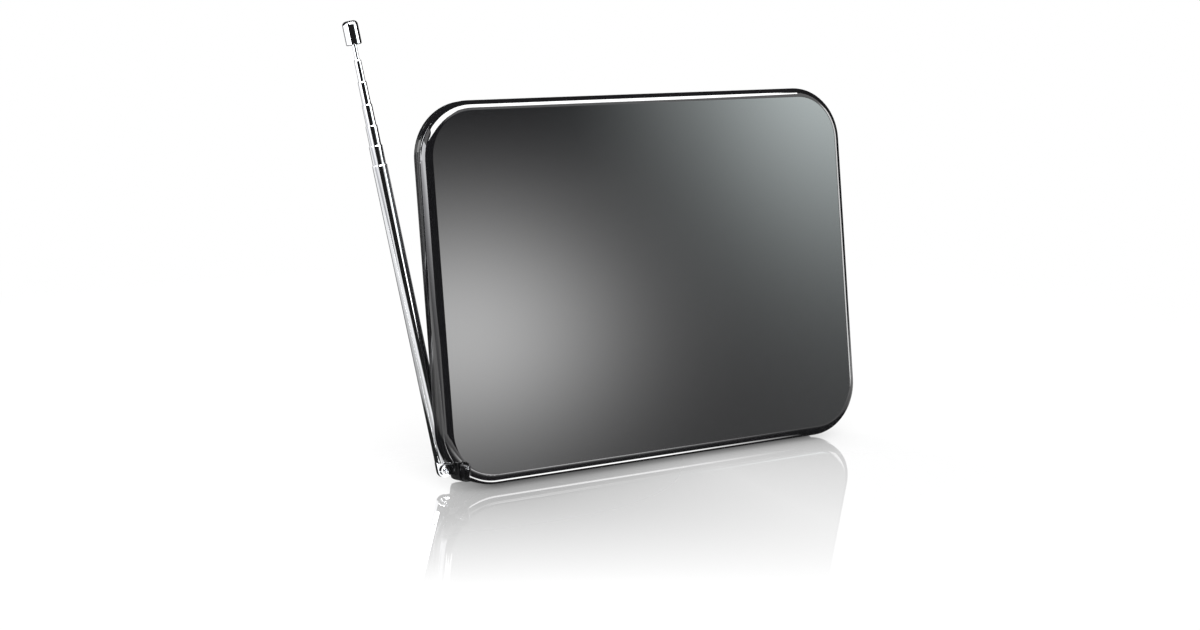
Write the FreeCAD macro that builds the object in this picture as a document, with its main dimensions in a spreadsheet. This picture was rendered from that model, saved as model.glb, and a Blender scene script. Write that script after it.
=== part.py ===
import FreeCAD, Part
import math
import os
import Sketcher
from FreeCAD import Placement, Rotation, Vector

# Flat indoor tv antenna: a leaning case with a telescopic rod hinged at its lower left corner.
# Millimetres. The case is drawn flat, x to the right, y up the case and z out of its front face,
# then leant back. The row's origin is the middle of the foot strip's underside, +Z up, front to -Y.

doc = FreeCAD.newDocument("Antenna")
sheet = doc.addObject("Spreadsheet::Sheet", "Sizes")

driving = [
    ("panel_width", 240.0, "case, across"),
    ("panel_height", 180.0, "case, along its slope"),
    ("corner_radius", 26.8, "case outline corners"),
    ("lean_angle", 10.8, "case leans back, degrees"),
    ("front_depth", 7.0, "front face to the seam"),
    ("front_edge", 5.0, "rounding of the front edge"),
    ("face_wall", 2.0, "thickness of the front face"),
    ("side_wall", 1.8, "thickness of the other walls"),
    ("rim_depth", 12.0, "front face to the back of the rim"),
    ("rim_edge", 2.5, "rounding of the rim's back edge"),
    ("seam_chamfer", 0.25, "bevel on each side of the seam"),
    ("back_depth", 24.0, "front face to the back of the housing"),
    ("back_top_inset", 12.0, "case top to the housing's top"),
    ("back_bottom_inset", 2.0, "case bottom to the housing's bottom"),
    ("back_corner", 14.0, "housing outline corners"),
    ("boss_corner", 2.8, "housing corner beside the rod"),
    ("back_edge", 2.5, "rounding of the housing's back edge"),
    ("bay_width", 12.0, "rim beside the housing, where the rod parks, and the notch"),
    ("notch_height", 13.0, "case bottom to the top of the notch"),
    ("notch_corner", 3.0, "inner corner of the notch"),
    ("notch_lip", 0.6, "rounding of the notch's outer edge"),
    ("screw_across", 196.0, "case screws, spacing across"),
    ("screw_up", 64.0, "case screws, spacing up the case"),
    ("screw_radius", 1.5, "case screw shank"),
    ("screw_length", 7.5, "case screw shank under its head"),
    ("screw_head_radius", 2.75, "case screw head"),
    ("screw_head_height", 2.0, "case screw head"),
    ("screw_seat", 12.0, "front face to the seat of the screw heads"),
    ("screw_floor", 2.0, "column floor under a screw head"),
    ("column_wall", 1.4, "wall of a screw column and of a screw boss"),
    ("screw_clear", 0.04, "round a screw shank"),
    ("head_clear", 0.45, "round a screw head"),
    ("foot_length", 170.0, "foot strip, across"),
    ("foot_width", 4.0, "foot strip, front to back"),
    ("foot_proud", 2.0, "foot strip below the housing at its middle"),
    ("foot_groove", 0.8, "groove that holds the foot strip"),
    ("foot_depth", 14.3, "front face to the middle of the foot strip"),
    ("mast_inset", 6.3, "case side to the rod's pivot"),
    ("mast_height", 8.3, "case bottom to the rod's pivot"),
    ("mast_gap", 1.0, "rim's back to the outer tube"),
    ("mast_tilt", 8.2, "rod leans outwards as it stands, degrees"),
    ("tube_radius", 3.5, "outer tube"),
    ("tube_step", 0.375, "drop in radius from each tube to the next"),
    ("tube_wall", 0.22, "tube walls"),
    ("slide_clear", 0.04, "between sliding tubes, at lip and flare"),
    ("tube_start", 4.4, "pivot to the outer tube's lower end"),
    ("tube_length", 141.4, "outer tube"),
    ("lip_length", 1.0, "turned-in lip at a tube's top"),
    ("lip_bevel", 0.14, "bevel of a tube's lip, across the rod"),
    ("lip_rise", 0.4, "bevel of a tube's lip, along the rod"),
    ("flare_length", 6.0, "opened-out foot of an inner tube"),
    ("nest_step", 1.2, "each tube's top above the last when the rod is shut"),
    ("show_2", 9.1, "length of tube 2 that shows"),
    ("show_3", 9.3, "length of tube 3 that shows"),
    ("show_4", 9.8, "length of tube 4 that shows"),
    ("show_5", 10.5, "length of tube 5 that shows"),
    ("show_6", 10.0, "length of tube 6 that shows"),
    ("show_tip", 7.0, "length of the tip rod that shows"),
    ("tip_radius", 1.0, "tip rod"),
    ("cap_radius", 3.6, "tip cap"),
    ("cap_height", 10.9, "tip cap"),
    ("cap_dome", 1.9, "rounding of the cap's top"),
    ("cap_socket", 6.0, "depth of the tip rod in its cap"),
    ("crimp_radius", 0.55, "dots that hold the tube to its plug"),
    ("crimp_height", 7.9, "pivot to the lower dot"),
    ("crimp_step", 3.0, "between the dots"),
    ("crimp_groove", 1.3, "groove in the plug behind the dots"),
    ("crimp_turn", 60.0, "dots round the tube from the front, degrees"),
    ("plug_length", 11.6, "plug inside the outer tube"),
    ("plug_collar", 0.6, "plug's collar under the tube"),
    ("press_clear", 0.02, "pressed pieces"),
    ("tongue_radius", 3.5, "rounded end of the plug's tongue"),
    ("tongue_thick", 2.4, "plug's tongue"),
    ("cheek_radius", 2.5, "rounded ends of the clevis cheeks"),
    ("cheek_thick", 1.3, "clevis cheeks"),
    ("hinge_clear", 0.05, "beside the tongue and round the rivet and shaft"),
    ("slot_clear", 0.3, "tongue's end to the bottom of the clevis slot"),
    ("rivet_radius", 1.0, "hinge rivet"),
    ("rivet_head_radius", 1.6, "hinge rivet heads"),
    ("rivet_head_height", 0.6, "hinge rivet heads"),
    ("rivet_bevel", 0.4, "rounding of the rivet heads"),
    ("rivet_crown", 0.15, "rise of the crown of the rivet heads"),
    ("rivet_hollow", 0.7, "hollow in the rivet's front end, radius"),
    ("rivet_sink", 1.3, "hollow in the rivet's front end, depth"),
    ("neck_radius", 2.6, "clevis collar"),
    ("shaft_radius", 2.1, "swivel shaft"),
    ("shaft_tail", 5.8, "swivel shaft past its clip"),
    ("bush_wall", 0.85, "swivel bush"),
    ("bush_flange", 3.3, "swivel bush flange radius"),
    ("flange_thick", 1.2, "swivel bush flange"),
    ("flange_groove", 0.35, "groove round the flange"),
    ("flange_gap", 0.1, "flange to the clevis collar"),
    ("boss_wall", 5.0, "case wall that holds the bush"),
    ("boss_height", 11.0, "thick part of that wall, above the housing's bottom"),
    ("bush_tail", 0.6, "bush past the inside of the wall"),
    ("washer_thick", 0.4, "friction washer"),
    ("washer_radius", 3.8, "friction washer"),
    ("clip_thick", 0.8, "shaft clip"),
    ("clip_radius", 4.0, "shaft clip"),
    ("clip_mouth", 3.4, "open side of the shaft clip"),
    ("groove_depth", 0.6, "groove for the shaft clip"),
    ("leaf_thick", 0.3, "contact leaf"),
    ("leaf_width", 4.0, "contact leaf"),
    ("leaf_foot", 5.5, "contact leaf's foot on the board"),
    ("leaf_rise", 8.3, "contact leaf, along the shaft's end"),
    ("leaf_gap", 0.1, "contact leaf to the shaft's end"),
    ("board_gap", 2.0, "front face's inside to the antenna board"),
    ("board_thick", 1.0, "antenna board"),
    ("board_width", 176.0, "antenna board"),
    ("board_height", 100.0, "antenna board"),
    ("board_centre_up", 22.0, "antenna board's middle above the case's middle"),
    ("stake_across", 164.0, "stakes that hold the antenna board"),
    ("stake_up", 84.0, "stakes that hold the antenna board"),
    ("stake_radius", 1.5, "stake through the board"),
    ("stake_head", 2.4, "stake head and foot radius"),
    ("stake_head_height", 0.8, "stake head"),
    ("loop_width", 144.0, "loop element"),
    ("loop_height", 84.0, "loop element"),
    ("loop_track", 9.0, "loop element's track"),
    ("loop_corner", 12.0, "loop element's outer corners"),
    ("loop_thick", 0.2, "loop element"),
    ("loop_break", 4.0, "gap between the loop's two ends"),
    ("feed_step", 12.0, "between the feed pins"),
    ("feed_left", 62.0, "case's middle to the loop's break"),
    ("feed_radius", 0.6, "feed pins"),
    ("amp_depth", 9.5, "front face to the amplifier board"),
    ("amp_thick", 1.2, "amplifier board"),
    ("amp_left", 93.0, "case's middle to the amplifier board's left edge"),
    ("amp_width", 53.0, "amplifier board"),
    ("amp_bottom", 84.0, "case's middle down to the amplifier board's lower edge"),
    ("amp_height", 62.0, "amplifier board"),
    ("post_radius", 3.0, "posts for the amplifier board"),
    ("post_inset", 7.0, "posts from the amplifier board's right and lower edges"),
    ("board_screw_radius", 1.1, "amplifier board screws"),
    ("board_screw_length", 7.0, "amplifier board screws"),
    ("board_screw_head", 2.2, "amplifier board screw heads"),
    ("can_width", 20.0, "shield can"),
    ("can_height", 26.0, "shield can"),
    ("can_depth", 6.0, "shield can"),
    ("can_wall", 0.4, "shield can"),
    ("can_inset", 3.0, "shield can from the amplifier board's right and upper edges"),
    ("socket_left", 74.0, "case's middle to the socket"),
    ("socket_down", 56.0, "case's middle down to the socket"),
    ("thread_radius", 4.76, "socket thread, three eighths of an inch across"),
    ("thread_length", 11.0, "socket thread behind the case"),
    ("thread_bevel", 0.4, "socket thread's end"),
    ("contact_gap", 0.4, "air round the socket's contact"),
    ("root_radius", 4.4, "socket thread's root, which the nut grips"),
    ("socket_base", 6.2, "socket base radius"),
    ("socket_bore", 3.4, "socket's bore radius"),
    ("insulator_depth", 9.0, "socket insulator"),
    ("insulator_sink", 0.5, "insulator behind the socket's end"),
    ("contact_radius", 0.8, "socket's centre contact"),
    ("contact_bore", 0.5, "hole in the centre contact"),
    ("nut_flats", 11.1, "socket nut across its flats"),
    ("nut_thick", 2.6, "socket nut"),
    ("nut_bevel", 0.4, "socket nut's outer edges"),
    ("lock_thick", 0.6, "socket washer"),
    ("lock_radius", 6.6, "socket washer"),
    ("stand_width", 60.0, "leg"),
    ("stand_thick", 4.0, "leg"),
    ("stand_skin", 1.6, "leg's outer skin"),
    ("stand_rib", 2.0, "leg's ribs"),
    ("stand_axis_up", 30.0, "leg's hinge above the case's middle"),
    ("stand_open", 22.0, "leg opens, degrees"),
    ("stand_sink", 0.2, "leg below the housing's back when folded"),
    ("stand_clear", 0.6, "round the leg in its recess"),
    ("stop_gap", 0.08, "leg's heel to the recess floor when open"),
    ("stand_corner", 6.0, "leg's lower corners"),
    ("grip_width", 22.0, "finger slot in the leg"),
    ("grip_height", 9.0, "finger slot in the leg"),
    ("grip_up", 14.0, "leg's end to the middle of the finger slot"),
    ("pin_radius", 1.0, "leg's hinge pin"),
    ("pin_seat", 4.0, "hinge pin's end in the recess wall"),
    ("pad_height", 2.6, "leg pad"),
    ("pad_inset", 7.0, "leg pad from the leg's sides"),
]


class Size:
    # A length or angle of the sheet, or a sum of such, as a number and as the formula that gives it.
    def __init__(self, text, value):
        self.text = text
        self.value = value

    def __add__(self, other):
        other = plain(other)
        return Size(f"({self.text} + {other.text})", self.value + other.value)

    def __sub__(self, other):
        other = plain(other)
        return Size(f"({self.text} - {other.text})", self.value - other.value)

    def __mul__(self, other):
        other = plain(other)
        return Size(f"({self.text} * {other.text})", self.value * other.value)

    def __truediv__(self, other):
        other = plain(other)
        return Size(f"({self.text} / {other.text})", self.value / other.value)

    def __neg__(self):
        return Size(f"(0 - {self.text})", -self.value)


def plain(number):
    return number if isinstance(number, Size) else Size(repr(float(number)), float(number))


def root(size):
    return Size(f"sqrt({size.text})", math.sqrt(size.value))


def sine(angle):
    return Size(f"sin({angle.text} * 1 deg)", math.sin(math.radians(angle.value)))


def cosine(angle):
    return Size(f"cos({angle.text} * 1 deg)", math.cos(math.radians(angle.value)))


class Sizes:
    pass


s = Sizes()
for row, (alias, value, note) in enumerate(driving, start=1):
    sheet.set(f"A{row}", str(value))
    sheet.setAlias(f"A{row}", alias)
    sheet.set(f"B{row}", note)
    setattr(s, alias, Size(f"Sizes.{alias}", value))
doc.recompute()

zero = plain(0)
subParts = []


def bind(item, prop, size):
    item.setExpression(prop, size.text)


def newBody(label):
    body = doc.addObject("PartDesign::Body", label)
    body.Label = label
    subParts.append(body)
    return body


def newSketch(body, role, offset=zero):
    sketch = body.newObject("Sketcher::SketchObject", body.Label + "_sketch")
    base = [item for item in body.Origin.OriginFeatures if item.Role == role][0]
    sketch.AttachmentSupport = [(base, "")]
    sketch.MapMode = "FlatFace"
    sketch.AttachmentOffset = Placement(Vector(0, 0, offset.value), Rotation())
    bind(sketch, "AttachmentOffset.Base.z", offset)
    return sketch


def hold(sketch, kind, geometry, point, size):
    # One coordinate of a point, measured from the sketch's origin.
    axis = -2 if kind == "DistanceX" else -1
    if abs(size.value) < 1e-9:
        sketch.addConstraint(Sketcher.Constraint("PointOnObject", geometry, point, axis))
        return
    if size.value > 0:
        index = sketch.addConstraint(Sketcher.Constraint(kind, -1, 1, geometry, point, size.value))
        bind(sketch, f"Constraints[{index}]", size)
    else:
        index = sketch.addConstraint(Sketcher.Constraint(kind, geometry, point, -1, 1, -size.value))
        bind(sketch, f"Constraints[{index}]", -size)


def drawCircle(sketch, x, y, radius):
    centre = Vector(x.value, y.value, 0)
    circle = sketch.addGeometry(Part.Circle(centre, Vector(0, 0, 1), radius.value))
    hold(sketch, "DistanceX", circle, 3, x)
    hold(sketch, "DistanceY", circle, 3, y)
    index = sketch.addConstraint(Sketcher.Constraint("Radius", circle, radius.value))
    bind(sketch, f"Constraints[{index}]", radius)


def drawProfile(sketch, points):
    # A closed outline of straight lines, with each corner held by its two coordinates.
    first = sketch.GeometryCount
    spots = [Vector(x.value, y.value, 0) for x, y in points]
    count = len(spots)
    for i in range(count):
        sketch.addGeometry(Part.LineSegment(spots[i], spots[(i + 1) % count]))
    for i in range(count):
        after = first + (i + 1) % count
        sketch.addConstraint(Sketcher.Constraint("Coincident", first + i, 2, after, 1))
    for i, (x, y) in enumerate(points):
        hold(sketch, "DistanceX", first + i, 1, x)
        hold(sketch, "DistanceY", first + i, 1, y)


def drawRectangle(sketch, left, right, bottom, top):
    drawProfile(sketch, [(left, bottom), (right, bottom), (right, top), (left, top)])


def drawRounded(sketch, left, right, bottom, top, radii):
    # A rectangle with a radius for each corner: lower right, upper right, upper left, lower left.
    first = sketch.GeometryCount
    r = [radius.value for radius in radii]
    x0, x1, y0, y1 = left.value, right.value, bottom.value, top.value
    ends = [
        ((x0 + r[3], y0), (x1 - r[0], y0)),
        ((x1, y0 + r[0]), (x1, y1 - r[1])),
        ((x1 - r[1], y1), (x0 + r[2], y1)),
        ((x0, y1 - r[2]), (x0, y0 + r[3])),
    ]
    for start, end in ends:
        sketch.addGeometry(Part.LineSegment(Vector(*start, 0), Vector(*end, 0)))
    centres = [
        (x1 - r[0], y0 + r[0]),
        (x1 - r[1], y1 - r[1]),
        (x0 + r[2], y1 - r[2]),
        (x0 + r[3], y0 + r[3]),
    ]
    for i, centre in enumerate(centres):
        circle = Part.Circle(Vector(*centre, 0), Vector(0, 0, 1), r[i])
        turn = (i + 3) * math.pi / 2
        sketch.addGeometry(Part.ArcOfCircle(circle, turn, turn + math.pi / 2))
    for i in range(4):
        arc = first + 4 + i
        sketch.addConstraint(Sketcher.Constraint("Tangent", first + i, 2, arc, 1))
        sketch.addConstraint(Sketcher.Constraint("Tangent", arc, 2, first + (i + 1) % 4, 1))
        index = sketch.addConstraint(Sketcher.Constraint("Radius", arc, r[i]))
        bind(sketch, f"Constraints[{index}]", radii[i])
    for i, kind in enumerate(("Horizontal", "Vertical", "Horizontal", "Vertical")):
        sketch.addConstraint(Sketcher.Constraint(kind, first + i))
    hold(sketch, "DistanceY", first, 1, bottom)
    hold(sketch, "DistanceX", first + 1, 1, right)
    hold(sketch, "DistanceY", first + 2, 1, top)
    hold(sketch, "DistanceX", first + 3, 1, left)


def drawTongue(sketch, radius, length):
    # A bar with one round end about the origin, along the sketch's own y.
    far = length.value
    r = radius.value
    spots = [Vector(-r, 0, 0), Vector(r, 0, 0), Vector(r, far, 0), Vector(-r, far, 0)]
    circle = Part.Circle(Vector(0, 0, 0), Vector(0, 0, 1), r)
    sketch.addGeometry(Part.ArcOfCircle(circle, math.pi, 2 * math.pi))
    sketch.addGeometry(Part.LineSegment(spots[1], spots[2]))
    sketch.addGeometry(Part.LineSegment(spots[2], spots[3]))
    sketch.addGeometry(Part.LineSegment(spots[3], spots[0]))
    sketch.addConstraint(Sketcher.Constraint("Coincident", 0, 3, -1, 1))
    sketch.addConstraint(Sketcher.Constraint("Tangent", 0, 2, 1, 1))
    sketch.addConstraint(Sketcher.Constraint("Tangent", 3, 2, 0, 1))
    sketch.addConstraint(Sketcher.Constraint("Coincident", 1, 2, 2, 1))
    sketch.addConstraint(Sketcher.Constraint("Coincident", 2, 2, 3, 1))
    sketch.addConstraint(Sketcher.Constraint("Vertical", 1))
    sketch.addConstraint(Sketcher.Constraint("Horizontal", 2))
    index = sketch.addConstraint(Sketcher.Constraint("Radius", 0, r))
    bind(sketch, f"Constraints[{index}]", radius)
    hold(sketch, "DistanceY", 1, 2, length)


def addFeature(body, kind, sketch, length, back=False, middle=False):
    before = body.Tip.Shape.Volume if kind == "Pocket" else None
    feature = body.newObject("PartDesign::" + kind, body.Label + "_" + kind.lower())
    feature.Profile = sketch
    feature.Length = length.value
    bind(feature, "Length", length)
    feature.Reversed = back
    if middle:
        feature.Midplane = True
    sketch.Visibility = False
    doc.recompute()
    if kind == "Pocket" and not feature.Shape.Volume < before - 1e-6:
        raise RuntimeError(body.Label + ": a pocket cuts nothing")
    return feature


def pad(body, sketch, length, back=False, middle=False):
    return addFeature(body, "Pad", sketch, length, back, middle)


def pocket(body, sketch, length, back=False, middle=False):
    return addFeature(body, "Pocket", sketch, length, back, middle)


def spin(body, points):
    # A turned piece: a half section of radius and height, about the body's own z axis.
    sketch = newSketch(body, "XZ_Plane")
    drawProfile(sketch, points)
    feature = body.newObject("PartDesign::Revolution", body.Label + "_turned")
    feature.Profile = sketch
    feature.ReferenceAxis = (sketch, ["V_Axis"])
    feature.Angle = 360
    doc.recompute()
    return feature


def soften(body, wanted, size, kind="Fillet"):
    base = body.Tip
    names = [f"Edge{i}" for i, edge in enumerate(base.Shape.Edges, start=1) if wanted(edge)]
    if not names:
        raise RuntimeError(body.Label + ": no edge to soften")
    feature = body.newObject("PartDesign::" + kind, body.Label + "_" + kind.lower())
    feature.Base = (base, names)
    bind(feature, "Radius" if kind == "Fillet" else "Size", size)
    doc.recompute()
    return feature


def level(height):
    # Edges that lie flat at one height along the body's own z axis.
    def test(edge):
        box = edge.BoundBox
        return abs(box.ZMin - height.value) < 1e-4 and abs(box.ZMax - height.value) < 1e-4
    return test


def seamOutline(body, height):
    # The outer outline of the flat face at one height, the notch's edge with it.
    shape = body.Tip.Shape
    faces = [face for face in shape.Faces if face.BoundBox.ZLength < 1e-6]
    flat = [face for face in faces if abs(face.BoundBox.ZMin - height.value) < 1e-4]
    widest = max(flat, key=lambda face: face.BoundBox.XLength * face.BoundBox.YLength)
    return lambda edge: any(edge.isSame(other) for other in widest.OuterWire.Edges)


# Places that several pieces share.
halfWide = s.panel_width / 2
halfHigh = s.panel_height / 2
caseFoot = -halfHigh
mastX = s.mast_inset - halfWide
mastY = s.mast_height - halfHigh
mastDepth = s.rim_depth + s.mast_gap + s.tube_radius
notchX = s.bay_width - halfWide
notchY = s.notch_height - halfHigh
housingLeft = s.bay_width - halfWide
housingTop = halfHigh - s.back_top_inset
housingFoot = s.back_bottom_inset - halfHigh
innerBack = s.back_depth - s.side_wall
rimFloor = s.rim_depth - s.side_wall
footDrop = housingFoot - s.foot_proud
columnRadius = s.screw_head_radius + s.head_clear + s.column_wall
columnStart = s.screw_seat - s.screw_floor
screwSpots = [(s.screw_across * (side / 2), s.screw_up * step) for side in (-1, 1) for step in (-1, 0, 1)]
boardDepth = s.face_wall + s.board_gap
boardBack = boardDepth + s.board_thick
stakeSpots = [
    (s.stake_across * (side / 2), s.board_centre_up + s.stake_up * (rise / 2))
    for side in (-1, 1)
    for rise in (-1, 1)
]
ampBack = s.amp_depth + s.amp_thick
ampRight = s.amp_width - s.amp_left
ampTop = s.amp_height - s.amp_bottom
postSpots = [
    (ampRight - s.post_inset, s.post_inset - s.amp_bottom),
    (s.post_inset - s.amp_left, ampTop - s.post_inset),
]
standAxisDepth = s.back_depth - s.stand_sink - s.stand_thick / 2
recessFloor = standAxisDepth - s.stand_thick / 2 - s.stand_clear
recessHalf = s.stand_width / 2 + s.stand_clear

# Frames. The case's own frame is leant back so that the middle of the foot strip comes to the origin.
lean = Rotation(Vector(1, 0, 0), 90 - s.lean_angle.value)
footPoint = Vector(0, footDrop.value, -s.foot_depth.value)
casePlace = Placement(lean.multVec(footPoint).negative(), lean)


def inCase(x, y, z, turn=None):
    return casePlace.multiply(Placement(Vector(x.value, y.value, z.value), turn or Rotation()))


mastTurn = Rotation(Vector(0, 0, 1), s.mast_tilt.value).multiply(Rotation(Vector(1, 0, 0), -90))
mastPlace = inCase(mastX, mastY, -mastDepth, mastTurn)
swivelPlace = inCase(mastX, mastY, -mastDepth, Rotation(Vector(0, 1, 0), -90))
rivetPlace = inCase(mastX, mastY, -mastDepth)
socketPlace = inCase(-s.socket_left, -s.socket_down, zero, Rotation(Vector(1, 0, 0), 180))
standPlace = inCase(zero, s.stand_axis_up, -standAxisDepth, Rotation(Vector(1, 0, 0), s.stand_open.value))


def drawOutline(sketch, inset):
    corner = s.corner_radius - inset
    drawRounded(sketch, inset - halfWide, halfWide - inset, inset - halfHigh, halfHigh - inset, [corner] * 4)


def drawHousing(sketch, inset):
    corner = s.back_corner - inset
    small = s.boss_corner - inset / 2
    left = housingLeft + inset
    radii = [corner, corner, corner, small]
    drawRounded(sketch, left, -left, housingFoot + inset, housingTop - inset, radii)


def outlineDrop(run):
    # How far the rounded corner of the outline lies from the case's side, at a run in from the corner.
    left = s.corner_radius - run
    return s.corner_radius - root(s.corner_radius * s.corner_radius - left * left)


def cutNotch(body, top, bottom):
    # Corner notch for the rod's foot, with a wall of its own round it, between two depths.
    wall = newSketch(body, "XY_Plane", -top)
    left = outlineDrop(s.notch_height) - halfWide + s.side_wall / 4
    low = outlineDrop(s.bay_width) - halfHigh + s.side_wall / 4
    drawRectangle(wall, left, notchX + s.side_wall, low, notchY + s.side_wall)
    pad(body, wall, bottom - top, back=True)
    sketch = newSketch(body, "XY_Plane", -bottom - s.side_wall)
    outside = -halfWide - s.side_wall
    below = -halfHigh - s.side_wall
    sharp = s.notch_corner / 4
    drawRounded(sketch, outside, notchX, below, notchY, [sharp, s.notch_corner, sharp, sharp])
    pocket(body, sketch, s.rim_depth + s.side_wall * 2, back=True)


def notchRim(body):
    # Where the notch's walls meet the cover's skin.
    within = [face for face in body.Tip.Shape.Faces if face.BoundBox.XMax < notchX.value + 1e-4]
    walls = [face for face in within if face.BoundBox.YMax < notchY.value + 1e-4]
    seam = level(-s.front_depth)

    def test(edge):
        shared = [wall for wall in walls if any(edge.isSame(other) for other in wall.Edges)]
        return len(shared) == 1 and not seam(edge)
    return test


def frontCover():
    body = newBody("front_cover")
    outline = newSketch(body, "XY_Plane")
    drawOutline(outline, zero)
    pad(body, outline, s.front_depth, back=True)
    soften(body, level(zero), s.front_edge)
    hollow = newSketch(body, "XY_Plane", -s.front_depth)
    drawOutline(hollow, s.side_wall)
    pocket(body, hollow, s.front_depth - s.face_wall, back=True)
    soften(body, level(-s.face_wall), s.front_edge - s.face_wall)
    bosses = newSketch(body, "XY_Plane", -s.face_wall)
    for x, y in screwSpots:
        drawCircle(bosses, x, y, s.screw_radius + s.column_wall)
    pad(body, bosses, columnStart - s.face_wall, back=True)
    cores = newSketch(body, "XY_Plane", -columnStart)
    for x, y in screwSpots:
        drawCircle(cores, x, y, s.screw_radius + s.screw_clear)
    pocket(body, cores, columnStart - s.face_wall, back=True)
    stakes = [
        (s.stake_head, s.face_wall, boardDepth),
        (s.stake_radius, boardDepth, boardBack),
        (s.stake_head, boardBack, boardBack + s.stake_head_height),
    ]
    for radius, start, end in stakes:
        sketch = newSketch(body, "XY_Plane", -start)
        for x, y in stakeSpots:
            drawCircle(sketch, x, y, radius)
        pad(body, sketch, end - start, back=True)
    cutNotch(body, s.face_wall, s.front_depth)
    soften(body, notchRim(body), s.notch_lip)
    soften(body, seamOutline(body, -s.front_depth), s.seam_chamfer, "Chamfer")
    body.Placement = casePlace


def rearCover():
    body = newBody("rear_cover")
    outline = newSketch(body, "XY_Plane", -s.front_depth)
    drawOutline(outline, zero)
    pad(body, outline, s.rim_depth - s.front_depth, back=True)
    soften(body, level(-s.rim_depth), s.rim_edge)
    housing = newSketch(body, "XY_Plane", -rimFloor)
    drawHousing(housing, zero)
    pad(body, housing, s.back_depth - rimFloor, back=True)
    soften(body, level(-s.back_depth), s.back_edge)
    hollow = newSketch(body, "XY_Plane", -s.front_depth)
    drawOutline(hollow, s.side_wall)
    pocket(body, hollow, rimFloor - s.front_depth)
    deep = newSketch(body, "XY_Plane", -s.front_depth)
    drawHousing(deep, s.side_wall)
    pocket(body, deep, innerBack - s.front_depth)
    cutNotch(body, s.front_depth, s.rim_depth)
    fillSwivelBoss(body)
    sinkStand(body)
    addColumns(body)
    grooveFoot(body)
    port = newSketch(body, "XY_Plane", -s.back_depth)
    drawCircle(port, -s.socket_left, -s.socket_down, s.thread_radius + s.screw_clear)
    pocket(body, port, s.side_wall * 2, back=True)
    soften(body, seamOutline(body, -s.front_depth), s.seam_chamfer, "Chamfer")
    body.Placement = casePlace


def fillSwivelBoss(body):
    # Thick wall inside the housing's corner, bored along x for the swivel bush.
    block = newSketch(body, "XY_Plane", -rimFloor)
    inside = housingLeft + s.side_wall / 2
    floor = housingFoot + s.side_wall / 2
    drawRectangle(block, inside, housingLeft + s.boss_wall, floor, housingFoot + s.boss_height)
    pad(body, block, innerBack + s.side_wall / 2 - rimFloor, back=True)
    bore = newSketch(body, "YZ_Plane", housingLeft)
    drawCircle(bore, mastY, -mastDepth, s.shaft_radius + s.hinge_clear + s.bush_wall + s.press_clear)
    pocket(body, bore, s.boss_wall, back=True)


def sinkStand(body):
    # Recess for the leg, open at the foot of the housing, with a floor, walls and seats for the hinge pin.
    top = s.stand_axis_up + s.stand_thick / 2 + s.stand_clear
    tray = newSketch(body, "XY_Plane", s.side_wall - recessFloor)
    reach = recessHalf + s.pin_seat + s.side_wall
    drawRectangle(tray, -reach, reach, housingFoot + s.side_wall / 2, top + s.side_wall)
    pad(body, tray, innerBack - recessFloor + s.side_wall * 1.5, back=True)
    recess = newSketch(body, "XY_Plane", -s.back_depth)
    drawRectangle(recess, -recessHalf, recessHalf, caseFoot - s.side_wall, top)
    pocket(body, recess, s.back_depth - recessFloor, back=True)
    seats = newSketch(body, "YZ_Plane")
    drawCircle(seats, s.stand_axis_up, -standAxisDepth, s.pin_radius + s.press_clear)
    pocket(body, seats, (recessHalf + s.pin_seat) * 2, middle=True)


def addColumns(body):
    # Screw columns with a well from the back, and posts for the amplifier board.
    columns = newSketch(body, "XY_Plane", -columnStart)
    for x, y in screwSpots:
        drawCircle(columns, x, y, columnRadius)
    pad(body, columns, innerBack + s.side_wall / 2 - columnStart, back=True)
    wells = newSketch(body, "XY_Plane", -s.back_depth)
    for x, y in screwSpots:
        drawCircle(wells, x, y, s.screw_head_radius + s.head_clear)
    pocket(body, wells, s.back_depth - s.screw_seat, back=True)
    holes = newSketch(body, "XY_Plane", -s.back_depth)
    for x, y in screwSpots:
        drawCircle(holes, x, y, s.screw_radius + s.screw_clear)
    pocket(body, holes, s.back_depth - columnStart, back=True)
    posts = newSketch(body, "XY_Plane", -ampBack)
    for x, y in postSpots:
        drawCircle(posts, x, y, s.post_radius)
    pad(body, posts, innerBack + s.side_wall / 2 - ampBack, back=True)
    cores = newSketch(body, "XY_Plane", -ampBack)
    for x, y in postSpots:
        drawCircle(cores, x, y, s.board_screw_radius + s.screw_clear)
    pocket(body, cores, s.board_screw_length)


def grooveFoot(body):
    groove = newSketch(body, "XZ_Plane", -housingFoot - s.foot_groove)
    reach = s.foot_length / 2 + s.press_clear
    front = s.foot_width / 2 - s.foot_depth + s.press_clear
    back = -s.foot_width / 2 - s.foot_depth - s.press_clear
    drawRectangle(groove, -reach, reach, back, front)
    pocket(body, groove, s.foot_groove, back=True)


def footStrip():
    # Soft strip pressed into the groove, its underside cut level with the table.
    body = newBody("foot_strip")
    section = newSketch(body, "YZ_Plane")
    half = s.foot_width / 2
    slope = half * (sine(s.lean_angle) / cosine(s.lean_angle))
    top = housingFoot + s.foot_groove
    corners = [
        (top, -s.foot_depth - half),
        (footDrop + slope, -s.foot_depth - half),
        (footDrop - slope, -s.foot_depth + half),
        (top, -s.foot_depth + half),
    ]
    drawProfile(section, corners)
    pad(body, section, s.foot_length, middle=True)
    body.Placement = casePlace


def copies(label, source, spots):
    # One node of equal separate pieces.
    node = doc.addObject("Part::Feature", label)
    node.Label = label
    node.Shape = Part.makeCompound([moved(source, spot) for spot in spots])
    subParts.append(node)
    return node


def moved(shape, spot):
    piece = shape.copy()
    piece.Placement = Placement(Vector(*spot), Rotation())
    return piece


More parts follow.
